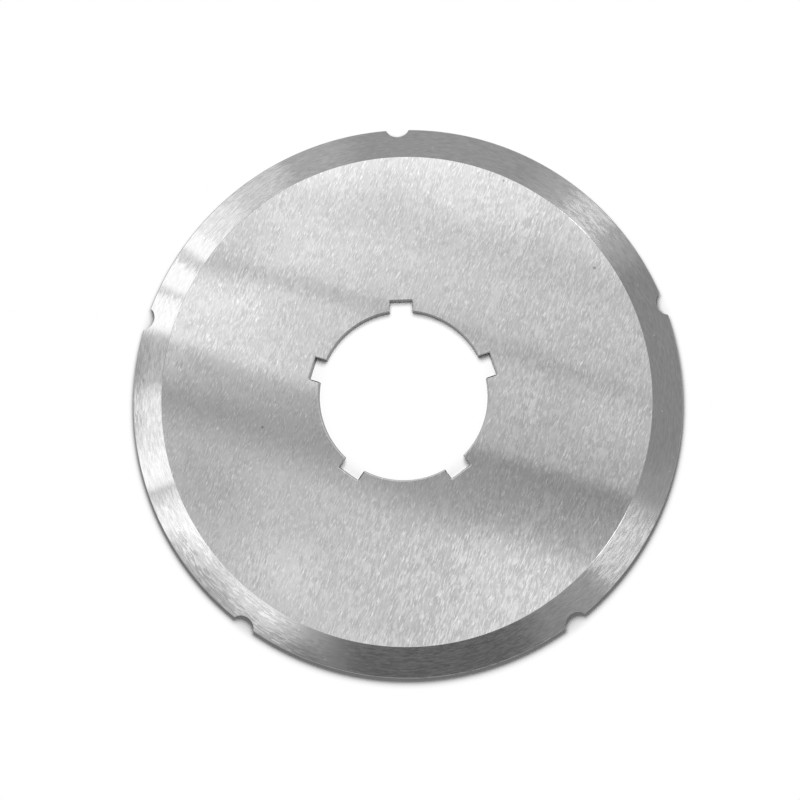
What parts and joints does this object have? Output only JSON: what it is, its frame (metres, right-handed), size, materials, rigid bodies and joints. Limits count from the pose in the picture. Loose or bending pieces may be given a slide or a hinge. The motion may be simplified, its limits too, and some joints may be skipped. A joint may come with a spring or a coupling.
{
  "type": "disc knife",
  "caption": "Flat round machine knife: a steel ring ground to a cutting edge all round, with a keyed bore and round notches in line with the keyways.",
  "frame": {"origin": "middle of the lower flat face, on the bore's axis", "axes": "+Z along the bore's axis out of the upper face, +Y through the first keyway and the first notch"},
  "size_m": [0.1462, 0.1461, 0.003],
  "materials": {
    "ground_steel": "bright ground steel, short straight grain on the flat face and grain that runs round on the bevel"
  },
  "bodies": {
    "root": {"knife_disc": "ground_steel"}
  },
  "joints": []
}
